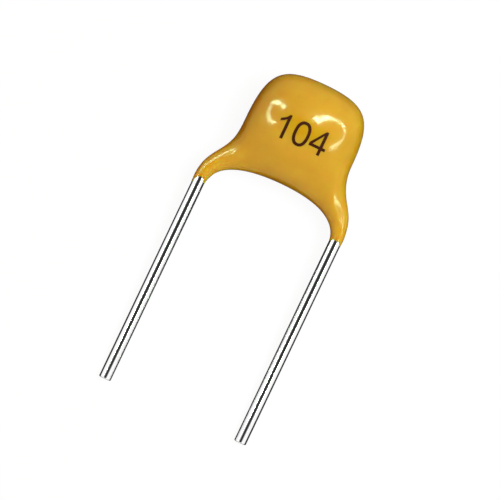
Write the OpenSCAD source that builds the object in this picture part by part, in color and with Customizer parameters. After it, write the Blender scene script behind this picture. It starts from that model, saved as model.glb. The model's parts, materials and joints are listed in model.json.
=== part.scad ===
// Multilayer ceramic capacitor: a dipped chip with two straight radial leads.
//
// The modules draw the part in its upright frame: x runs across the leads,
// y runs along them with the head at +y, and z points out of the marked
// face. y = 0 is the seating level, where the coating ends on the leads.
// at_rest() then lays the part on its back, on the crown of its coating and
// its two lead tips, with the middle of its outline over the origin.

/* [Leads] */
// Distance between the two lead axes
lead_pitch = 5.08; // [4.4:0.02:6.2]
// Diameter of the wire
lead_d = 0.43; // [0.35:0.01:0.52]
// Straight length of each lead below the coating
lead_length = 7.41; // [3:0.01:25]
// Centre-line radius of the wire's two bends
bend_r = 0.9; // [0.5:0.05:1]
// Height at which the wire starts to bend inwards
bend_start = 0.15; // [0:0.05:0.4]

/* [Coating outline] */
// Width of the head at its waist
head_width = 3.96; // [3.4:0.02:4.8]
// Height of the head's top above the seating level
body_height = 4.8; // [4:0.1:6]
// Height at which the head is widest
waist_height = 2.65; // [2.2:0.05:3.2]
// Height of the underside between the legs
arch_height = 1.12; // [0.8:0.02:1.4]
// Sideways offset of the head from the middle of the leads
head_shift = -0.04; // [-0.15:0.01:0.15]
// Sideways offset of the coating where the legs join the head
neck_shift = 0.05; // [-0.1:0.01:0.1]
// Thickness of the film where the coating ends on the wire
film = 0.03; // [0.02:0.01:0.06]

/* [Coating form] */
// Thickness through the crown
body_thickness = 2.5; // [2:0.1:3.2]
// Fullness of the shoulder's side (0.55 follows an ellipse)
shoulder_side = 0.82; // [0.5:0.01:0.95]
// Fullness of the shoulder's top (0.55 follows an ellipse)
shoulder_top = 0.8; // [0.5:0.01:0.95]
// Fullness of the flank's curve at the waist
flank_waist = 0.53; // [0.3:0.01:0.7]
// Fullness of the flank's curve at the foot
flank_foot = 0.55; // [0.3:0.01:0.7]
// Fullness of the arch at the foot
arch_foot = 0.74; // [0.5:0.01:0.9]
// Fullness of the arch at its top
arch_top = 0.56; // [0.4:0.01:0.8]
// How late the coating swells on its way up the legs
swell = 2.6; // [1.2:0.1:3]
// Flatness of the face (1 is elliptical, less is flatter)
face_power = 0.74; // [0.6:0.02:1]
// How far the crown is drawn from the middle towards the head's top
apex_raise = 0.2; // [0:0.05:0.4]

/* [Chip] */
// Length of the chip between its end faces
chip_length = 2; // [1.6:0.05:2.4]
// Width of the chip, along the leads
chip_width = 1.25; // [0.9:0.05:1.6]
// Thickness of the chip, through the body
chip_thickness = 1.25; // [0.9:0.05:1.6]
// Radius along the chip's long edges
chip_edge_r = 0.09; // [0.06:0.01:0.15]
// Wall of each metal termination
termination_wall = 0.04; // [0.02:0.01:0.05]
// Reach of each termination along the chip's sides
termination_band = 0.4; // [0.2:0.05:0.6]

/* [Electrodes] */
// Number of plates on each termination
plates_per_side = 8; // [2:1:12]
// Thickness of one plate
plate_thickness = 0.016; // [0.008:0.002:0.024]
// Ceramic cover outside the first and the last plate
plate_cover = 0.14; // [0.08:0.01:0.2]
// Ceramic margin along both edges of a plate
plate_margin = 0.18; // [0.1:0.01:0.25]
// Ceramic gap between a plate's free end and the far termination
plate_end_gap = 0.25; // [0.15:0.01:0.4]

/* [Solder] */
// Solder layer between the wire and the termination
solder_gap = 0.02; // [0.01:0.01:0.05]
// Wall of the solder collar round the wire
solder_wall = 0.03; // [0.02:0.01:0.06]
// Radius of the joint's outline on the termination
solder_r = 0.45; // [0.35:0.01:0.5]
// Radius of the joint's hollow fillets
solder_fillet_r = 0.32; // [0.3:0.01:0.5]

/* [Hidden] */
$fn = 64;

// Wire: the leg's axis, the inner end's axis, and the S-bend between them
lead_r = lead_d / 2;
lead_x = lead_pitch / 2;
inner_x = chip_length / 2 + solder_gap + lead_r;
chip_y = (arch_height + body_height) / 2;
bend_end = chip_y - solder_r;
bend_dx = lead_x - inner_x;
bend_dy = bend_end - bend_start;
bend_span = norm([bend_dx - 2 * bend_r, bend_dy]);
slant = atan2(bend_dx - 2 * bend_r, bend_dy) + asin(2 * bend_r / bend_span);
slant_length = sqrt(bend_span * bend_span - 4 * bend_r * bend_r);
// The wire thins a little where it is bent, and each straight run ends just
// inside the bend that it meets
bend_thinning = 0.003;
bend_overlap = 0.05;

// Chip: the ceramic inside the terminations, and the spacing of its plates
ceramic_length = chip_length - 2 * termination_wall;
ceramic_width = chip_width - 2 * termination_wall;
ceramic_thickness = chip_thickness - 2 * termination_wall;
ceramic_edge_r = chip_edge_r - termination_wall;
plate_count = 2 * plates_per_side;
plate_width = ceramic_width - 2 * plate_margin;
plate_length = ceramic_length - plate_end_gap;
plate_pitch = (ceramic_thickness - 2 * plate_cover - plate_thickness) / (plate_count - 1);

// Coating outline, right half: the foot's two edges, then three cubic curves
foot_in = lead_x - lead_r - film;
foot_out = lead_x + lead_r + film;
waist_x = head_width / 2;
shoulder_rise = body_height - waist_height;
flank_curve = [[foot_out, 0], [foot_out, flank_foot * waist_height],
               [waist_x, (1 - flank_waist) * waist_height], [waist_x, waist_height]];
shoulder_curve = [[waist_x, waist_height], [waist_x, waist_height + shoulder_side * shoulder_rise],
                  [shoulder_top * waist_x, body_height], [0, body_height]];
arch_curve = [[foot_in, 0], [foot_in, arch_foot * arch_height],
              [arch_top * foot_in, arch_height], [0, arch_height]];

// Ribs run from the arch to the outer edge, from each foot to the middle
rib_count = 32;
rib_points = 32;
waist_rib = 0.45;
arch_lead = 0.5;

// Heights at which the legs start to lean and are fully offset
neck_start = 0.4;
neck_height = 1.3;

function cubic(curve, t) =
    pow(1 - t, 3) * curve[0] + 3 * pow(1 - t, 2) * t * curve[1]
    + 3 * (1 - t) * t * t * curve[2] + t * t * t * curve[3];

function smooth(t) = let (c = min(1, max(0, t))) c * c * (3 - 2 * c);

// The two ends of the rib at f, from 0 at the foot to 1 in the middle; on the
// legs the inner end runs ahead, so that each rib lies across its leg
function rib_inner(f) = cubic(arch_curve, f + arch_lead * f * (1 - f));
function rib_outer(f) = f < waist_rib
    ? cubic(flank_curve, f / waist_rib)
    : cubic(shoulder_curve, (f - waist_rib) / (1 - waist_rib));

// Half thickness of the coating at the middle of a rib
function rib_swell(f) =
    lead_r + film + (body_thickness / 2 - lead_r - film) * pow(sin(90 * f), swell);

// Sideways offset of the coating at a height
function lean(y) =
    neck_shift * smooth((y - neck_start) / (neck_height - neck_start))
    + (head_shift - neck_shift) * smooth((y - neck_height) / (waist_height - neck_height));

// One closed section of the coating, round the rib at f on one side
function rib_section(f, side) =
    let (inner = rib_inner(f), outer = rib_outer(f), half = rib_swell(f),
         power = 1 + (face_power - 1) * f, draw = 1 - apex_raise * f)
    [for (i = [0 : rib_points - 1])
        let (a = 360 * i / rib_points, s = pow((1 - cos(a)) / 2, draw),
             p = inner + (outer - inner) * s)
        [side * p[0] + lean(p[1]), p[1], half * sign(sin(a)) * pow(abs(sin(a)), power)]];

// All sections, from the right foot over the head to the left foot
coat_sections = [for (i = [0 : 2 * rib_count])
    i <= rib_count ? rib_section(i / rib_count, 1)
                   : rib_section((2 * rib_count - i) / rib_count, -1)];
coat_points = [for (section = coat_sections) each section];

function coat_index(i, j) = i * rib_points + j % rib_points;

coat_faces = concat(
    [[for (j = [0 : rib_points - 1]) coat_index(0, j)]],
    [for (i = [0 : 2 * rib_count - 1], j = [0 : rib_points - 1])
        [coat_index(i, j), coat_index(i + 1, j), coat_index(i, j + 1)]],
    [for (i = [0 : 2 * rib_count - 1], j = [0 : rib_points - 1])
        [coat_index(i, j + 1), coat_index(i + 1, j), coat_index(i + 1, j + 1)]],
    [[for (j = [rib_points - 1 : -1 : 0]) coat_index(2 * rib_count, j)]]);

// Rest attitude: the tilt at which the crown and the lead tips share a floor
rest_tilt = max([for (p = coat_points) atan2(-p[2] - lead_r, p[1] + lead_length)]);
rest_lift = lead_length * sin(rest_tilt) + lead_r * cos(rest_tilt);
rest_top = max([for (p = coat_points) p[1] * cos(rest_tilt) - p[2] * sin(rest_tilt)]);
rest_bottom = -lead_length * cos(rest_tilt) - lead_r * sin(rest_tilt);
rest_middle = (rest_top + rest_bottom) / 2;

module at_rest() {
    translate([0, -rest_middle, rest_lift]) rotate([rest_tilt, 0, 0]) children();
}

module left_side() {
    mirror([1, 0, 0]) children();
}

// Rectangle with true arcs at its corners, centred on the origin
module rounded_rectangle(size_x, size_y, r) {
    square([size_x - 2 * r, size_y], center = true);
    square([size_x, size_y - 2 * r], center = true);
    for (x = [-1, 1], y = [-1, 1])
        translate([x * (size_x / 2 - r), y * (size_y / 2 - r)]) circle(r);
}

// Bar along x with rounded long edges, from x = start to x = end
module rounded_bar(start, end, width, thickness, r) {
    translate([start, chip_y, 0]) rotate([90, 0, 90])
        linear_extrude(end - start) rounded_rectangle(width, thickness, r);
}

// Straight piece of wire along y
module straight_wire(start, end) {
    translate([0, start, 0]) rotate([-90, 0, 0]) cylinder(h = end - start, r = lead_r);
}

// Bend about the origin, from the +x axis round to the slant
module bent_wire() {
    rotate_extrude(angle = slant) translate([bend_r, 0]) circle(lead_r - bend_thinning);
}

// Whole wire of the right side: leg, bend, slanted run, bend and inner end
module wire() {
    translate([lead_x, 0, 0]) straight_wire(-lead_length, bend_start + bend_overlap);
    translate([lead_x - bend_r, bend_start, 0]) {
        bent_wire();
        rotate([0, 0, slant]) translate([bend_r, 0, 0])
            straight_wire(-bend_overlap, slant_length + bend_overlap);
    }
    translate([inner_x + bend_r, bend_end, 0]) rotate([0, 0, 180]) bent_wire();
    translate([inner_x, bend_end, 0]) straight_wire(-bend_overlap, 2 * solder_r);
}

// Solder joint of the right side before the wire is taken out of it
module solder_block() {
    collar_r = lead_r + solder_wall;
    depth = inner_x - chip_length / 2;
    intersection() {
        translate([chip_length / 2, chip_y + solder_r, 0]) rotate([90, 0, 0])
            linear_extrude(2 * solder_r) {
                difference() {
                    translate([0, -collar_r - solder_fillet_r])
                        square([depth, 2 * (collar_r + solder_fillet_r)]);
                    for (side = [-1, 1])
                        translate([depth, side * (collar_r + solder_fillet_r)])
                            circle(solder_fillet_r);
                }
                translate([depth, 0]) circle(collar_r);
            }
        translate([chip_length / 2, chip_y, 0]) rotate([0, 90, 0])
            cylinder(h = depth + 2 * collar_r, r = solder_r);
    }
}

// Stack of every second plate, joined to the termination on one side
module plates(first, side) {
    for (i = [first : 2 : plate_count - 1])
        translate([side * plate_end_gap / 2, chip_y, (i - (plate_count - 1) / 2) * plate_pitch])
            cube([plate_length, plate_width, plate_thickness], center = true);
}

module ceramic_block() {
    rounded_bar(-ceramic_length / 2, ceramic_length / 2,
                ceramic_width, ceramic_thickness, ceramic_edge_r);
}

// Metal cap over the chip's right end, before the ceramic is taken out of it
module termination_block() {
    rounded_bar(chip_length / 2 - termination_band, chip_length / 2,
                chip_width, chip_thickness, chip_edge_r);
}

// What the coating closes in on the right side
module right_inside() {
    termination_block();
    solder_block();
    wire();
}

module epoxy_coating() {
    color("goldenrod") at_rest() difference() {
        polyhedron(points = coat_points, faces = coat_faces, convexity = 4);
        ceramic_block();
        right_inside();
        left_side() right_inside();
    }
}

module ceramic_dielectric() {
    color("tan") at_rest() difference() {
        ceramic_block();
        plates(0, -1);
        plates(1, 1);
    }
}

module electrodes_left() {
    color("dimgray") at_rest() plates(0, -1);
}

module electrodes_right() {
    color("gray") at_rest() plates(1, 1);
}

module termination_left() {
    color("lightgray") at_rest() left_side() difference() {
        termination_block();
        ceramic_block();
    }
}

module termination_right() {
    color("lightgray") at_rest() difference() {
        termination_block();
        ceramic_block();
    }
}

module solder_left() {
    color("darkgray") at_rest() left_side() difference() {
        solder_block();
        wire();
    }
}

module solder_right() {
    color("darkgray") at_rest() difference() {
        solder_block();
        wire();
    }
}

module lead_left() {
    color("silver") at_rest() left_side() wire();
}

module lead_right() {
    color("silver") at_rest() wire();
}

epoxy_coating();
ceramic_dielectric();
electrodes_left();
electrodes_right();
termination_left();
termination_right();
solder_left();
solder_right();
lead_left();
lead_right();
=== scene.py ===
"""Looks of the multilayer ceramic capacitor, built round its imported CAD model.

The pieces are drawn in the part's upright frame, as in the CAD source: x runs
across the leads, y along them with the head at +y, and z out of the marked
face, with y = 0 where the coating ends on the leads. Lengths in that frame
are millimetres. place() carries a piece into the row frame, in metres.
"""

import json
import math

import bmesh
import bpy
import numpy as np
from mathutils import Matrix, Vector
from mathutils.bvhtree import BVHTree


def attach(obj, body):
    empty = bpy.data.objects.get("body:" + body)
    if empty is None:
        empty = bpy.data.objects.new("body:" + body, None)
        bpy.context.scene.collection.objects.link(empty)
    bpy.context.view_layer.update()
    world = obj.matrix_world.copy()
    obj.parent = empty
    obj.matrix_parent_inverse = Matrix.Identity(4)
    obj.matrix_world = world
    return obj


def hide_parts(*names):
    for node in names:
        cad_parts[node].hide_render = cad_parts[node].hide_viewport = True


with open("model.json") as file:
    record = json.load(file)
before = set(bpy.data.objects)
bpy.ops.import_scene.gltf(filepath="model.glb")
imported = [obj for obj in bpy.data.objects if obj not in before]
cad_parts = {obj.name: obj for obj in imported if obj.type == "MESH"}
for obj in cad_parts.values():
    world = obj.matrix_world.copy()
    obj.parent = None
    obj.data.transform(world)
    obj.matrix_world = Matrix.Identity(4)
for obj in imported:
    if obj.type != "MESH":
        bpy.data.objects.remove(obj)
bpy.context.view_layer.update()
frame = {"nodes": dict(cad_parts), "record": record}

MM = 0.001
NODES = frame["nodes"]

# ------------------------------------------------------------------ sizes

MOUNTS = {m["name"]: m for m in frame["record"]["mounts"]}
PIN_LEFT = MOUNTS["lead_left_pin"]
PIN_RIGHT = MOUNTS["lead_right_pin"]

LEAD_R = PIN_RIGHT["dims"]["r_mm"]
LEAD_LENGTH = PIN_RIGHT["dims"]["length_mm"]
LEAD_X = (PIN_RIGHT["pos_m"][0] - PIN_LEFT["pos_m"][0]) / MM / 2

# The wire's two bends and its end on the chip, as in the CAD source
BEND_R = 0.9
BEND_START = 0.15
CHIP_LENGTH = 2.0
SOLDER_GAP = 0.02
SOLDER_R = 0.45

# The coating's outline and form, as in the CAD source
HEAD_WIDTH = 3.96
BODY_HEIGHT = 4.8
WAIST_HEIGHT = 2.65
ARCH_HEIGHT = 1.12
HEAD_SHIFT = -0.04
NECK_SHIFT = 0.05
NECK_START = 0.4
NECK_HEIGHT = 1.3
FILM = 0.03
BODY_THICKNESS = 2.5
SHOULDER_SIDE = 0.82
SHOULDER_TOP = 0.8
FLANK_WAIST = 0.53
FLANK_FOOT = 0.55
ARCH_FOOT = 0.74
ARCH_TOP = 0.56
SWELL = 2.6
FACE_POWER = 0.74
WAIST_RIB = 0.45
ARCH_LEAD = 0.5
APEX_RAISE = 0.2

# The film's end on each wire: how far up it stands at the front and back of
# the wire and at its outer and inner sides, how square the arch between them
# is, the film's thickness there, and how far up it thickens and the arch fades
FILM_FRONT = 0.18
FILM_SIDE_OUT = {"left": -0.13, "right": 0.02}
FILM_SIDE_IN = {"left": -0.01, "right": 0.08}
FILM_ARCH = 2.2
FILM_EDGE = 0.006
FILM_TAPER = 0.35
FILM_BLEND = 0.8

# The crest of resin down the front of the right leg: the ends of its line, its
# rise at shares of the way down, how far it runs past each end and how long it
# takes to fade there (both in shares of its length), and where its inner and
# outer slopes begin beside the line and how wide they are
CREST_TOP = (1.89, 1.42)
CREST_FOOT = (2.49, 0.8)
CREST_SHARES = (0, 0.35, 0.68, 1)
CREST_RISE = (0.025, 0.039, 0.048, 0.023)
CREST_OVERRUN = 0.25
CREST_FADE = 0.35
CREST_INNER_EDGE = 0.4
CREST_INNER_SLOPE = 0.33
CREST_OUTER_EDGE = 0.07
CREST_OUTER_SLOPE = 0.14


class Upright:
    """The upright frame inside the row frame, from the record's mounts."""

    across = Vector(PIN_RIGHT["pos_m"]) - Vector(PIN_LEFT["pos_m"])
    across.normalize()
    along = -Vector(PIN_RIGHT["axis"]).normalized()
    out = across.cross(along)
    seat = (Vector(PIN_RIGHT["pos_m"]) + Vector(PIN_LEFT["pos_m"])) / 2
    seat = seat + along * (LEAD_LENGTH * MM / 2)

    @classmethod
    def matrix(cls):
        """Carries metres in the upright frame into the row frame."""
        columns = Matrix((cls.across, cls.along, cls.out)).transposed()
        return Matrix.Translation(cls.seat) @ columns.to_4x4()

    @classmethod
    def point(cls, x, y, z):
        """Place in the row frame, in metres, of a point in upright millimetres."""
        return cls.matrix() @ (Vector((x, y, z)) * MM)

    @classmethod
    def direction(cls, tilt_x, tilt_y):
        """Where a facet tilted by these degrees sends a ray that came along -out."""
        tilt = math.hypot(tilt_x, tilt_y)
        turn = math.atan2(tilt_y, tilt_x)
        polar = math.radians(2 * tilt)
        side = cls.across * math.cos(turn) + cls.along * math.sin(turn)
        return cls.out * math.cos(polar) + side * math.sin(polar)


def add_object(name, data):
    """Object in the scene for a mesh, a lamp or a camera."""
    made = bpy.data.objects.new(name, data)
    bpy.context.scene.collection.objects.link(made)
    return made


def new_mesh(name, points, faces):
    """Smooth mesh object from points and faces; faces of many corners stay flat."""
    mesh = bpy.data.meshes.new(name)
    mesh.from_pydata([tuple(p) for p in points], [], faces)
    work = bmesh.new()
    work.from_mesh(mesh)
    bmesh.ops.recalc_face_normals(work, faces=work.faces)
    for face in work.faces:
        face.smooth = len(face.verts) <= 4
    work.to_mesh(mesh)
    work.free()
    return add_object(name, mesh)


def place(piece):
    """Moves a mesh drawn in upright millimetres to its place in the row frame."""
    piece.data.transform(Upright.matrix() @ Matrix.Scale(MM, 4))
    piece.data.update()
    return piece


def dress(piece, material):
    """Gives a piece its one material."""
    piece.data.materials.clear()
    piece.data.materials.append(material)


def cubic(curve, t):
    """Point of a cubic curve at each t."""
    t = np.asarray(t, float)[..., None]
    a, b, c, d = (np.array(p, float) for p in curve)
    return (1 - t) ** 3 * a + 3 * (1 - t) ** 2 * t * b + 3 * (1 - t) * t * t * c + t ** 3 * d


def smooth(t):
    """0 below 0, 1 above 1, and an even rise between."""
    c = np.clip(t, 0, 1)
    return c * c * (3 - 2 * c)


def loft(rings):
    """Points and faces of a closed skin through rings of equal length."""
    count = len(rings[0])
    faces = []
    for i in range(len(rings) - 1):
        for j in range(count):
            k = (j + 1) % count
            faces.append((i * count + j, i * count + k, (i + 1) * count + k, (i + 1) * count + j))
    last = (len(rings) - 1) * count
    faces.append(tuple(range(count)))
    faces.append(tuple(last + j for j in reversed(range(count))))
    return np.concatenate(rings), faces


# ---------------------------------------------------------------- coating

RIBS = 110
RIB_POINTS = 144
# The ribs crowd towards the foot, where the film ends: their spacing there,
# against even spacing, and how soon it opens
FOOT_SPACING = 0.45
SPACING_POWER = 0.6

FOOT_IN = LEAD_X - LEAD_R - FILM
FOOT_OUT = LEAD_X + LEAD_R + FILM
WAIST_X = HEAD_WIDTH / 2
SHOULDER_RISE = BODY_HEIGHT - WAIST_HEIGHT
FLANK_CURVE = [(FOOT_OUT, 0), (FOOT_OUT, FLANK_FOOT * WAIST_HEIGHT),
               (WAIST_X, (1 - FLANK_WAIST) * WAIST_HEIGHT), (WAIST_X, WAIST_HEIGHT)]
SHOULDER_CURVE = [(WAIST_X, WAIST_HEIGHT),
                  (WAIST_X, WAIST_HEIGHT + SHOULDER_SIDE * SHOULDER_RISE),
                  (SHOULDER_TOP * WAIST_X, BODY_HEIGHT), (0, BODY_HEIGHT)]
ARCH_CURVE = [(FOOT_IN, 0), (FOOT_IN, ARCH_FOOT * ARCH_HEIGHT),
              (ARCH_TOP * FOOT_IN, ARCH_HEIGHT), (0, ARCH_HEIGHT)]


def lean(height):
    """How far the coating stands to the right at each height."""
    neck = smooth((height - NECK_START) / (NECK_HEIGHT - NECK_START))
    head = smooth((height - NECK_HEIGHT) / (WAIST_HEIGHT - NECK_HEIGHT))
    return NECK_SHIFT * neck + (HEAD_SHIFT - NECK_SHIFT) * head


def rib_section(f, side):
    """Closed section of the coating round the rib at f, from 0 at the foot to 1."""
    inner = cubic(ARCH_CURVE, f + ARCH_LEAD * f * (1 - f))
    if f < WAIST_RIB:
        outer = cubic(FLANK_CURVE, f / WAIST_RIB)
    else:
        outer = cubic(SHOULDER_CURVE, (f - WAIST_RIB) / (1 - WAIST_RIB))
    foot_half = LEAD_R + FILM
    half = foot_half + (BODY_THICKNESS / 2 - foot_half) * math.sin(math.pi / 2 * f) ** SWELL
    power = 1 + (FACE_POWER - 1) * f
    angle = 2 * np.pi * np.arange(RIB_POINTS) / RIB_POINTS
    share = ((1 - np.cos(angle)) / 2) ** (1 - APEX_RAISE * f)
    line = inner + (outer - inner) * share[:, None]
    sine = np.sin(angle)
    depth = half * np.sign(sine) * np.abs(sine) ** power
    return np.stack([side * line[:, 0] + lean(line[:, 1]), line[:, 1], depth], axis=1)


def film_end(points, side):
    """Draws a leg's section in to the film's arched end on the wire."""
    name = "right" if side > 0 else "left"
    moved = points.copy()
    offset = points[:, [0, 2]] - np.array([side * LEAD_X, 0])
    radius = np.linalg.norm(offset, axis=1)
    toward_side = side * offset[:, 0] / radius
    front = 1 - np.abs(toward_side) ** FILM_ARCH
    edge = np.where(toward_side > 0, FILM_SIDE_OUT[name], FILM_SIDE_IN[name])
    height = edge + (FILM_FRONT - edge) * front
    thin = (FILM - FILM_EDGE) * (1 - smooth(points[:, 1] / FILM_TAPER))
    moved[:, [0, 2]] -= offset / radius[:, None] * thin[:, None]
    moved[:, 1] += height * (1 - smooth(points[:, 1] / FILM_BLEND))
    return moved


def resin_crest(points):
    """Raises the low crest that the resin left down the front of the right leg."""
    top, foot = np.array(CREST_TOP), np.array(CREST_FOOT)
    run = foot - top
    length = np.linalg.norm(run)
    run /= length
    offset = points[:, :2] - top
    share = offset @ run / length
    outward = offset @ np.array([-run[1], run[0]])
    ends = (smooth((share + CREST_OVERRUN) / CREST_FADE)
            * smooth((1 + CREST_OVERRUN - share) / CREST_FADE))
    profile = (smooth((outward + CREST_INNER_EDGE) / CREST_INNER_SLOPE)
               * np.clip((CREST_OUTER_EDGE - outward) / CREST_OUTER_SLOPE, 0, 1) ** 2)
    rise = np.interp(share, CREST_SHARES, CREST_RISE)
    raised = points.copy()
    raised[:, 2] += (points[:, 2] > 0) * ends * profile * rise
    return raised


def coating_rings():
    """Rings of points from the right foot over the head to the left foot."""
    shares = np.linspace(0, 1, RIBS + 1)
    shares = shares * (FOOT_SPACING + (1 - FOOT_SPACING) * shares ** SPACING_POWER)
    right = [film_end(resin_crest(rib_section(f, 1)), 1) for f in shares]
    left = [film_end(rib_section(f, -1), -1) for f in shares]
    return right + left[-2::-1]


def make_coating():
    """The dipped epoxy skin, with its film ends on the wires."""
    return place(new_mesh("coating", *loft(coating_rings())))


# ------------------------------------------------------------------ leads

WIRE_SIDES = 64
TIP_BEVEL = 0.02
# Rings of the straight leg: the first few, in bevels from the tip, then an
# even run from a start near the tip to the coating
TIP_RINGS = (1, 1.5, 3)
LEG_START = 0.2
LEG_RINGS = 30
BEND_RINGS = 20


def wire_path():
    """Centre line of the right wire from its tip to its end on the chip."""
    inner_x = CHIP_LENGTH / 2 + SOLDER_GAP + LEAD_R
    chip_y = (ARCH_HEIGHT + BODY_HEIGHT) / 2
    bend_end = chip_y - SOLDER_R
    run_x = LEAD_X - inner_x - 2 * BEND_R
    run_y = bend_end - BEND_START
    span = math.hypot(run_x, run_y)
    slant = math.atan2(run_x, run_y) + math.asin(2 * BEND_R / span)
    turns = np.linspace(0, slant, BEND_RINGS)
    lower = [(LEAD_X - BEND_R + BEND_R * math.cos(a), BEND_START + BEND_R * math.sin(a))
             for a in turns]
    upper = [(inner_x + BEND_R - BEND_R * math.cos(a), bend_end - BEND_R * math.sin(a))
             for a in turns[::-1]]
    leg = [(LEAD_X, -LEAD_LENGTH)]
    leg += [(LEAD_X, TIP_BEVEL * k - LEAD_LENGTH) for k in TIP_RINGS]
    leg += [(LEAD_X, y) for y in np.linspace(LEG_START - LEAD_LENGTH, 0, LEG_RINGS)]
    return leg + lower + upper + [(inner_x, bend_end + 2 * SOLDER_R)]


def make_lead(name, side):
    """One wire, with a small bevel round its cut tip."""
    path = np.array(wire_path())
    tangent = np.gradient(path, axis=0)
    tangent /= np.linalg.norm(tangent, axis=1)[:, None]
    turn = 2 * np.pi * np.arange(WIRE_SIDES) / WIRE_SIDES
    rings = []
    for i, (centre, ahead) in enumerate(zip(path, tangent)):
        radius = LEAD_R - TIP_BEVEL if i == 0 else LEAD_R
        across = np.array([ahead[1], -ahead[0]])
        flat = centre + radius * np.cos(turn)[:, None] * across
        rings.append(np.column_stack([side * flat[:, 0], flat[:, 1], radius * np.sin(turn)]))
    return place(new_mesh(name, *loft(rings)))


# ---------------------------------------------------------------- marking

INK_RISE = 0.004
INK_SINK = 0.004
STROKE = 0.105
DIGIT_LOW = 2.47
DIGIT_HIGH = 3.32
OUTLINE_STEP = 0.025
OVAL_POINTS = 72
OVAL_POWER = 2.35


def dense(loop):
    """The closed loop with points no further apart than OUTLINE_STEP."""
    points = []
    for start, end in zip(loop, loop[1:] + loop[:1]):
        start, end = np.array(start, float), np.array(end, float)
        steps = max(1, math.ceil(np.linalg.norm(end - start) / OUTLINE_STEP))
        points += [tuple(start + (end - start) * k / steps) for k in range(steps)]
    return points


def oval(centre_x, centre_y, half_x, half_y):
    """Closed superellipse."""
    def squared(part):
        return math.copysign(abs(part) ** (2 / OVAL_POWER), part)

    turns = np.linspace(0, 2 * math.pi, OVAL_POINTS, endpoint=False)
    return [(centre_x + half_x * squared(math.cos(a)), centre_y + half_y * squared(math.sin(a)))
            for a in turns]


def digit_one():
    """Outline of the 1: a stem with a flag."""
    right, left, tip = -0.595, -0.7, -0.915
    drop = DIGIT_HIGH - 0.19
    return [[(left, DIGIT_LOW), (right, DIGIT_LOW), (right, DIGIT_HIGH),
             (left + 0.035, DIGIT_HIGH), (left - 0.06, drop + 0.065), (tip, drop - 0.03),
             (tip, drop - 0.125), (left - 0.08, drop - 0.055), (left, drop + 0.01)]]


def digit_zero():
    """Outline of the 0: an oval ring."""
    middle_x, middle_y = -0.065, (DIGIT_LOW + DIGIT_HIGH) / 2
    half_x, half_y = 0.28, (DIGIT_HIGH - DIGIT_LOW) / 2 + 0.01
    return [oval(middle_x, middle_y, half_x, half_y),
            oval(middle_x, middle_y, half_x - STROKE, half_y - STROKE)]


def digit_four():
    """Outline of the 4: a stem, a bar and a slanted stroke, with its opening."""
    stem_left, stem_right = 0.66, 0.765
    bar_left, bar_right = 0.29, 0.88
    bar_low, bar_high = DIGIT_LOW + 0.2, DIGIT_LOW + 0.3
    outside = [(stem_left, DIGIT_LOW), (stem_right, DIGIT_LOW), (stem_right, bar_low),
               (bar_right, bar_low), (bar_right, bar_high), (stem_right, bar_high),
               (stem_right, DIGIT_HIGH), (stem_right - 0.085, DIGIT_HIGH),
               (bar_left, bar_high + 0.005), (bar_left, bar_low), (stem_left, bar_low)]
    opening = [(stem_left, bar_high), (stem_left, DIGIT_HIGH - 0.155), (0.4, bar_high)]
    return [outside, opening]


def sort_faces(work):
    """Puts the faces in the order of their corners, which a fill leaves to chance."""
    work.verts.index_update()
    order = sorted(work.faces, key=lambda face: sorted(v.index for v in face.verts))
    for i, face in enumerate(order):
        face.index = i
    work.faces.sort()


def make_ink(coating):
    """The value code, printed on the face as a thin layer of ink."""
    skin = BVHTree.FromObject(coating, bpy.context.evaluated_depsgraph_get())
    carry = Upright.matrix()
    work = bmesh.new()
    for loops in (digit_one(), digit_zero(), digit_four()):
        edges = []
        for loop in loops:
            ring = [work.verts.new((x, y, 0)) for x, y in dense(loop)]
            edges += [work.edges.new((a, b)) for a, b in zip(ring, ring[1:] + ring[:1])]
        bmesh.ops.triangle_fill(work, edges=edges, use_beauty=True)
    top = bmesh.ops.extrude_face_region(work, geom=work.faces[:])
    raised = {v for v in top["geom"] if isinstance(v, bmesh.types.BMVert)}
    for vert in work.verts:
        start = carry @ (Vector((vert.co.x, vert.co.y, BODY_THICKNESS)) * MM)
        hit, normal, _, _ = skin.ray_cast(start, -Upright.out)
        step = INK_RISE if vert in raised else -INK_SINK
        vert.co = hit + normal * step * MM
    bmesh.ops.recalc_face_normals(work, faces=work.faces)
    sort_faces(work)
    mesh = bpy.data.meshes.new("marking_ink")
    work.to_mesh(mesh)
    work.free()
    return add_object("marking_ink", mesh)


# -------------------------------------------------------------- materials

EPOXY_DEEP = (0.67, 0.35, 0.008)
EPOXY_PALE = (0.75, 0.41, 0.014)
EPOXY_ROUGHNESS = (0.115, 0.14)
# The skin is duller on the front of the left leg: the patch's centre, its
# roughness, and the distances from the centre over which it gives way
DULL_CENTRE = (-2.35, 0.85, 0.35)
DULL_ROUGHNESS = 0.2
DULL_REACH = (0.5, 1.0)

TIN_DARK = (0.92, 0.92, 0.92)
TIN_LIGHT = (0.98, 0.98, 0.98)
TIN_ROUGHNESS = (0.04, 0.08)

INK_DARK = (0.045, 0.006, 0.002)
INK_LIGHT = (0.062, 0.009, 0.003)
INK_ROUGHNESS = (0.45, 0.6)

CERAMIC_DARK = (0.22, 0.13, 0.07)
CERAMIC_LIGHT = (0.31, 0.2, 0.12)
CERAMIC_ROUGHNESS = (0.6, 0.8)


def add_node(tree, kind, values=None, **settings):
    """Adds a node with its settings; values sets or links its inputs, by name or number."""
    made = tree.nodes.new(kind)
    for key, value in settings.items():
        setattr(made, key, value)
    for key, value in (values or {}).items():
        if isinstance(value, bpy.types.NodeSocket):
            tree.links.new(value, made.inputs[key])
        else:
            made.inputs[key].default_value = value
    return made


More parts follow.
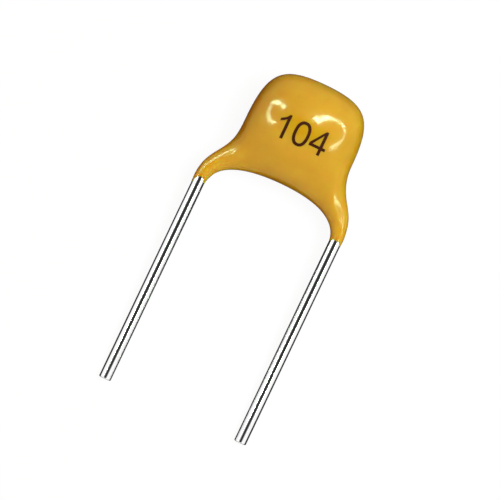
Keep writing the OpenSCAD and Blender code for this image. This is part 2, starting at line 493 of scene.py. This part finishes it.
class Shader:
    """A Principled material and short ways to add nodes to it."""

    def __init__(self, name, **inputs):
        self.material = bpy.data.materials.new(name)
        self.material.use_nodes = True
        self.tree = self.material.node_tree
        self.surface = self.tree.nodes["Principled BSDF"]
        for key, value in inputs.items():
            self.surface.inputs[key.replace("_", " ")].default_value = value

    def link(self, source, key):
        """Links an output to an input of the surface."""
        self.tree.links.new(source, self.surface.inputs[key])

    def place(self, stretch=(1, 1, 1)):
        """Object coordinates in millimetres, each multiplied by its stretch."""
        where = add_node(self.tree, "ShaderNodeTexCoord")
        moved = add_node(self.tree, "ShaderNodeMapping",
                         {"Vector": where.outputs["Object"], "Scale": [s / MM for s in stretch]})
        return moved.outputs["Vector"]

    def noise(self, waves, detail=3.0, rough=0.5, stretch=(1, 1, 1)):
        """Noise at so many waves a millimetre."""
        made = add_node(self.tree, "ShaderNodeTexNoise",
                        {"Vector": self.place(stretch), "Scale": waves, "Detail": detail,
                         "Roughness": rough})
        return made.outputs["Fac"]

    def ramp(self, source, dark, light, edge=0.3):
        """Colour that goes from dark to light as the factor goes from edge to 1 - edge."""
        made = add_node(self.tree, "ShaderNodeValToRGB", {"Fac": source})
        low, high = made.color_ramp.elements
        low.position, low.color = edge, (*dark, 1)
        high.position, high.color = 1 - edge, (*light, 1)
        return made.outputs["Color"]

    def spread(self, source, low, high, start=0, end=1):
        """Goes from low to high as the source goes from start to end."""
        made = add_node(self.tree, "ShaderNodeMapRange",
                        {"Value": source, "From Min": start, "From Max": end,
                         "To Min": low, "To Max": high})
        return made.outputs["Result"]

    def distance(self, x, y, z):
        """Distance in millimetres from a point in upright millimetres."""
        made = add_node(self.tree, "ShaderNodeVectorMath",
                        {0: self.place(), 1: Upright.point(x, y, z) / MM}, operation="DISTANCE")
        return made.outputs["Value"]

    def bump(self, source, depth):
        """Bump of so many millimetres from a factor."""
        made = add_node(self.tree, "ShaderNodeBump", {"Height": source, "Distance": depth * MM})
        self.link(made.outputs["Normal"], "Normal")


def coating_material():
    """Glossy mustard epoxy with faint mottling and a softly uneven skin."""
    made = Shader("epoxy", IOR=1.5, Specular_IOR_Level=0.25, Subsurface_Weight=1.0,
                  Subsurface_Radius=(1.0, 0.4, 0.08), Subsurface_Scale=0.25 * MM)
    mottling = made.noise(waves=0.9, detail=4, rough=0.55)
    made.link(made.ramp(mottling, EPOXY_DEEP, EPOXY_PALE), "Base Color")
    gloss = made.spread(made.noise(waves=3.0), *EPOXY_ROUGHNESS)
    away = made.distance(*DULL_CENTRE)
    made.link(made.spread(away, DULL_ROUGHNESS, gloss, *DULL_REACH), "Roughness")
    made.bump(made.noise(waves=0.9, detail=1), depth=0.0004)
    return made.material


def wire_material():
    """Bright tinned wire with fine draw marks along it."""
    made = Shader("tinned_wire", Metallic=1.0)
    marks = made.noise(waves=3.0, detail=4, rough=0.6, stretch=(8, 0.25, 8))
    made.link(made.ramp(marks, TIN_DARK, TIN_LIGHT, edge=0.25), "Base Color")
    made.link(made.spread(marks, *TIN_ROUGHNESS), "Roughness")
    made.bump(marks, depth=0.0004)
    return made.material


def ink_material():
    """Dark brown printed ink, a little uneven."""
    made = Shader("ink", Specular_IOR_Level=0.05)
    made.link(made.ramp(made.noise(waves=6.0), INK_DARK, INK_LIGHT), "Base Color")
    made.link(made.spread(made.noise(waves=9.0), *INK_ROUGHNESS), "Roughness")
    return made.material


def metal_material(name, dark, light, roughness, waves=4.0):
    """Plated or soldered metal with a fine grain."""
    made = Shader(name, Metallic=1.0)
    grain = made.noise(waves, detail=4)
    made.link(made.ramp(grain, dark, light), "Base Color")
    made.link(made.spread(grain, *roughness), "Roughness")
    made.bump(grain, depth=0.002)
    return made.material


def ceramic_material():
    """Matt fired ceramic with fine specks."""
    made = Shader("fired_ceramic")
    specks = made.noise(waves=12.0, detail=5, rough=0.7)
    made.link(made.ramp(specks, CERAMIC_DARK, CERAMIC_LIGHT), "Base Color")
    made.link(made.spread(specks, *CERAMIC_ROUGHNESS), "Roughness")
    made.bump(specks, depth=0.003)
    return made.material


def dress_inside():
    """Materials of the CAD nodes that the coating closes in."""
    nickel = metal_material("sintered_nickel", dark=(0.14, 0.135, 0.125),
                            light=(0.2, 0.195, 0.18), roughness=(0.4, 0.55))
    tin = metal_material("tin_plate", dark=(0.5, 0.5, 0.48),
                         light=(0.62, 0.62, 0.6), roughness=(0.25, 0.4))
    solder = metal_material("solder", dark=(0.36, 0.37, 0.38),
                            light=(0.46, 0.47, 0.48), roughness=(0.28, 0.42), waves=2.0)
    dress(NODES["ceramic_dielectric"], ceramic_material())
    for kind, material in (("electrodes", nickel), ("termination", tin), ("solder", solder)):
        for side in ("left", "right"):
            dress(NODES[kind + "_" + side], material)


# ----------------------------------------------------------------- camera

# The photo looks straight at the marked face and is turned by VIEW_TURN
# degrees. Its width and its centre are in upright millimetres.
VIEW_TURN = 25.45
VIEW_WIDTH = 16.97
VIEW_CENTRE = (0.042, -1.358)
LENS = 200.0
SENSOR = 36.0
CLIP_NEAR = 0.001
CLIP_FAR = 10


def make_camera():
    """Long lens that looks straight at the marked face, turned as in the photo."""
    data = bpy.data.cameras.new("camera")
    data.lens = LENS
    data.sensor_width = SENSOR
    data.clip_start = CLIP_NEAR
    data.clip_end = CLIP_FAR
    camera = add_object("camera", data)
    turn = math.radians(VIEW_TURN)
    right = Upright.across * math.cos(turn) + Upright.along * math.sin(turn)
    above = Upright.along * math.cos(turn) - Upright.across * math.sin(turn)
    target = Upright.point(*VIEW_CENTRE, 0)
    back = LENS / SENSOR * VIEW_WIDTH * MM
    turned = Matrix((right, above, Upright.out)).transposed().to_4x4()
    camera.matrix_world = Matrix.Translation(target + Upright.out * back) @ turned
    bpy.context.scene.camera = camera


# -------------------------------------------------------- world and floor

WHITE = (1, 1, 1)
AMBIENT = (0.44, 0.27, 0.22)
FLOOR_ALBEDO = 0.06
FLOOR_HALF = 0.6


def emptied_tree(owner):
    """Node tree of a material or a world, without its first nodes."""
    owner.use_nodes = True
    owner.node_tree.nodes.clear()
    return owner.node_tree


def background_switch(tree):
    """1 for the rays that should see a white background, else 0."""
    path = add_node(tree, "ShaderNodeLightPath")
    seen = path.outputs["Is Camera Ray"]
    for kind in ("Is Glossy Ray", "Is Transmission Ray"):
        either = add_node(tree, "ShaderNodeMath", {0: seen, 1: path.outputs[kind]},
                          operation="MAXIMUM")
        seen = either.outputs[0]
    return seen


def make_world():
    """White to the camera and in reflections, soft warm light otherwise."""
    world = bpy.data.worlds.new("studio")
    bpy.context.scene.world = world
    tree = emptied_tree(world)
    blend = add_node(tree, "ShaderNodeMixShader", {"Fac": background_switch(tree)})
    for slot, colour in ((1, AMBIENT), (2, WHITE)):
        glow = add_node(tree, "ShaderNodeBackground", {"Color": (*colour, 1)})
        tree.links.new(glow.outputs["Background"], blend.inputs[slot])
    add_node(tree, "ShaderNodeOutputWorld", {"Surface": blend.outputs["Shader"]})


def make_floor():
    """Pale floor that shows white and keeps the part's soft shadow."""
    corners = [(x * FLOOR_HALF, y * FLOOR_HALF, 0) for x, y in ((-1, -1), (1, -1), (1, 1), (-1, 1))]
    floor = new_mesh("floor", corners, [(0, 1, 2, 3)])
    made = Shader("floor", Base_Color=(FLOOR_ALBEDO,) * 3 + (1,), Roughness=1,
                  Specular_IOR_Level=0, Emission_Color=(*WHITE, 1))
    shown = made.spread(background_switch(made.tree), 0, 1 - FLOOR_ALBEDO)
    made.link(shown, "Emission Strength")
    dress(floor, made.material)


# ----------------------------------------------------------------- lights

# The two tubes whose reflections are the curved highlights. Each knot is
# (across, along, half width, glow), the first three in degrees on the map of
# facet tilts: a facet tilted to a point of the map mirrors that point.
LEFT_TUBE = [
    (-16.2, 4.8, 1.67, 0.36), (-18.3, 6.2, 1.59, 0.51), (-20.6, 7.2, 1.45, 0.48),
    (-23.2, 7.4, 1.12, 0.69), (-25.5, 6.5, 1.02, 0.82), (-28.4, 5.8, 1.25, 0.52),
    (-29.9, 3.0, 1.64, 0.24), (-28.4, -0.1, 1.51, 0.26), (-26.9, -2.2, 1.13, 0.3),
    (-25.2, -4.0, 0.92, 0.39), (-22.9, -5.3, 0.7, 0.49), (-20.4, -6.0, 0.58, 0.53),
    (-18.7, -5.5, 0.58, 0.6),
]
RIGHT_TUBE = [
    (2.6, 7.1, 1.81, 1.25), (4.4, 9.5, 1.63, 0.74), (6.2, 12.0, 1.45, 0.92),
    (8.6, 14.0, 1.57, 0.66), (12.0, 14.4, 0.84, 0.62), (15.6, 14.2, 0.7, 0.75),
    (19.5, 13.8, 0.8, 0.77), (23.1, 11.4, 0.96, 0.56), (26.2, 7.9, 1.06, 0.22),
    (26.5, 3.2, 0.91, 0.31), (24.4, -0.9, 0.99, 0.38), (22.0, -3.5, 1.1, 0.38),
    (20.0, -5.7, 1.15, 0.5),
]
TUBE_DISTANCE = 60.0
TUBE_STEPS = 80
TUBE_STRENGTH = 82
TUBE_COLOUR = (0.68, 1, 0.61)

# The key lamp, in millimetres: it stands KEY_DISTANCE from the seat, in the
# direction out plus these shares of across and along
KEY_SIZE = 80
KEY_DISTANCE = 150
KEY_ACROSS = 0.38
KEY_ALONG = 0.2
KEY_ENERGY = 0.22
KEY_COLOUR = (0.72, 1, 0.95)

# The dark cards: how bright they are, from 0 to 1, and the steps of a half turn
CARD_LEVEL = 0.028
CARD_STEPS = 32

# The oval card round the lens: its height over the seat, its half sizes, and
# its cover at shares of the way from its centre to its edge
LENS_CARD_HEIGHT = 130
LENS_CARD_HALF = (92, 35)
LENS_CARD_SHARES = (0, 0.55, 0.7, 0.85, 1)
LENS_CARD_COVERS = (1, 1, 0.7, 0.3, 0)

# The cards near the floor, which paint the part's shadow on the floor into the
# reflections: how far they pass the lead tips, how high the flat ones lie, and the
# rise of the ground card beyond the head. The fences stand at FENCE_X on either
# side and end at FENCE_TOP, where the ground card starts to bend round the head.
CARD_TAIL = 3
CARD_LIFT = 0.02
CARD_SLOPE = 0.2
FENCE_X = 1.9
FENCE_TOP = 0.3
FENCE_DEPTHS = (0, -0.4, -0.8)
GROUND_REACHES = (0, 4, 8, 12)
GROUND_COVERS = (1, 1, 0.5, 0)
UNDER_ROWS = (-0.6, 0.3, 2.5)
UNDER_COVERS = (0, 1, 1)


def curve_through(knots, steps):
    """Even steps along the Catmull-Rom curve through the knots."""
    knots = np.array(knots, float)
    padded = np.vstack([2 * knots[0] - knots[1], knots, 2 * knots[-1] - knots[-2]])
    points = []
    for share in np.linspace(0, len(knots) - 1, steps + 1):
        i = min(int(share), len(knots) - 2)
        t = share - i
        a, b, c, d = padded[i:i + 4]
        points.append(b + t * ((c - a) + t * ((2 * a - 5 * b + 4 * c - d)
                                              + t * (3 * b - a - 3 * c + d))) / 2)
    return np.array(points)


def set_attribute(piece, name, values):
    """Gives each point of a piece's mesh its value."""
    layer = piece.data.attributes.new(name, "FLOAT", "POINT")
    layer.data.foreach_set("value", values)


def show_in_reflections_only(piece):
    """Hides a piece from every ray but the glossy ones."""
    for ray in ("camera", "diffuse", "transmission", "shadow"):
        setattr(piece, "visible_" + ray, False)


def glow_material(name):
    """Tube surface that shines as strongly as its mesh's glow attribute says.

    The strength is part of the colour, because the renderer shares its samples
    out among the lights by the sockets that nothing is linked to.
    """
    material = bpy.data.materials.new(name)
    tree = emptied_tree(material)
    level = add_node(tree, "ShaderNodeAttribute", attribute_name="glow")
    colour = (*(part * TUBE_STRENGTH for part in TUBE_COLOUR), 1)
    shine = add_node(tree, "ShaderNodeEmission",
                     {"Color": colour, "Strength": level.outputs["Fac"]})
    add_node(tree, "ShaderNodeOutputMaterial", {"Surface": shine.outputs["Emission"]})
    return material


def dark_material(name):
    """Near-black card surface, as solid as its mesh's cover attribute says."""
    material = bpy.data.materials.new(name)
    tree = emptied_tree(material)
    cover = add_node(tree, "ShaderNodeAttribute", attribute_name="cover")
    black = add_node(tree, "ShaderNodeEmission", {"Strength": CARD_LEVEL})
    clear = add_node(tree, "ShaderNodeBsdfTransparent")
    blend = add_node(tree, "ShaderNodeMixShader",
                     {"Fac": cover.outputs["Fac"], 1: clear.outputs["BSDF"],
                      2: black.outputs["Emission"]})
    add_node(tree, "ShaderNodeOutputMaterial", {"Surface": blend.outputs["Shader"]})
    return material


def tube_light(name, knots):
    """Bent tube light, seen in reflections only."""
    middle = Upright.point(0, WAIST_HEIGHT, 0)
    line = curve_through(knots, TUBE_STEPS)
    ahead = np.gradient(line[:, :2], axis=0)
    ahead /= np.linalg.norm(ahead, axis=1)[:, None]
    points = []
    for (x, y, half, _), (dx, dy) in zip(line, ahead):
        for side in (-half, half):
            mirrored = Upright.direction(x - dy * side, y + dx * side)
            points.append(middle + mirrored * TUBE_DISTANCE * MM)
    faces = [(2 * i, 2 * i + 1, 2 * i + 3, 2 * i + 2) for i in range(TUBE_STEPS)]
    tube = new_mesh(name, points, faces)
    set_attribute(tube, "glow", np.repeat(line[:, 3], 2))
    dress(tube, glow_material(name))
    show_in_reflections_only(tube)


def make_key():
    """Soft, slightly green key lamp from the upper right, without a reflection."""
    key = bpy.data.lights.new("key", "AREA")
    key.shape = "DISK"
    key.size = KEY_SIZE * MM
    key.energy = KEY_ENERGY
    key.color = KEY_COLOUR
    lamp = add_object("key", key)
    aim = Upright.out + Upright.across * KEY_ACROSS + Upright.along * KEY_ALONG
    aim.normalize()
    lamp.location = Upright.seat + aim * (KEY_DISTANCE * MM)
    lamp.rotation_mode = "QUATERNION"
    lamp.rotation_quaternion = (-aim).to_track_quat("-Z", "Y")
    lamp.visible_glossy = False


# Dark cards for the lens surround and for the part's painted shadow on the floor.
def dark_card(name, rows, covers):
    """Dark card, seen in reflections only, lofted through rows of points.

    Each row has one cover value, and the card fades from one row to the next.
    """
    count = len(rows[0])
    points = [point for row in rows for point in row]
    faces = [(r * count + i, r * count + i + 1, (r + 1) * count + i + 1, (r + 1) * count + i)
             for r in range(len(rows) - 1) for i in range(count - 1)]
    card = new_mesh(name, points, faces)
    set_attribute(card, "cover", np.repeat(covers, count))
    dress(card, dark_material(name))
    show_in_reflections_only(card)


def lens_card():
    """Oval card round the lens, which darkens the middle of the wires."""
    centre = Upright.point(*VIEW_CENTRE, LENS_CARD_HEIGHT)
    wide, high = (half * MM for half in LENS_CARD_HALF)
    turns = np.linspace(0, 2 * math.pi, 2 * CARD_STEPS + 1)
    rows = [[centre + share * (wide * math.cos(a) * Upright.across
                               + high * math.sin(a) * Upright.along) for a in turns]
            for share in LENS_CARD_SHARES]
    dark_card("lens_card", rows, LENS_CARD_COVERS)


def ground_shadow_card():
    """Painted shadow: dark strip on the floor round the part, seen only in reflections, for the
    edges of wires and head.
    """
    turns = np.linspace(0, math.pi, CARD_STEPS + 1)
    tail = -LEAD_LENGTH - CARD_TAIL
    rows = []
    for reach in GROUND_REACHES:
        side = FENCE_X + reach
        bend = [(side * math.cos(a), FENCE_TOP + side * math.sin(a),
                 CARD_LIFT + CARD_SLOPE * reach * math.sin(a)) for a in turns]
        line = [(side, tail, CARD_LIFT)] + bend + [(-side, tail, CARD_LIFT)]
        rows.append([Vector(point) * MM for point in line])
    dark_card("ground_shadow_card", rows, GROUND_COVERS)


def under_shadow_card():
    """Painted shadow: dark patch on the floor under the head, seen only in reflections.

    The floor between the legs stays bright, so the arch mirrors it.
    """
    rows = [[Vector((x, y, CARD_LIFT)) * MM for x in (-FENCE_X, FENCE_X)] for y in UNDER_ROWS]
    dark_card("under_shadow_card", rows, UNDER_COVERS)


def shade_fences():
    """Painted shade: low dark fence inside each leg, seen only in reflections, for the inner edge
    of its wire.
    """
    ends = (-LEAD_LENGTH - CARD_TAIL, FENCE_TOP)
    for side, name in ((-1, "fence_left"), (1, "fence_right")):
        rows = [[Upright.point(side * FENCE_X, y, z) for y in ends] for z in FENCE_DEPTHS]
        dark_card(name, rows, [1] * len(rows))


def make_lights():
    """Two tube lights for the gloss, a soft key, the dark lens card, and the cards that paint the
    part's shadow on the floor.
    """
    tube_light("tube_left", LEFT_TUBE)
    tube_light("tube_right", RIGHT_TUBE)
    make_key()
    lens_card()
    ground_shadow_card()
    under_shadow_card()
    shade_fences()


# --------------------------------------------------------------- assembly

make_camera()
make_world()
make_floor()
make_lights()

coating = make_coating()
dress(coating, coating_material())
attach(coating, "root")
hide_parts("epoxy_coating")

wire = wire_material()
for name, side in (("lead_left", -1), ("lead_right", 1)):
    lead = make_lead(name.replace("lead", "wire"), side)
    dress(lead, wire)
    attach(lead, "root")
    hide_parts(name)

ink = make_ink(coating)
dress(ink, ink_material())
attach(ink, "root")

dress_inside()

bpy.context.scene.view_settings.view_transform = "Standard"
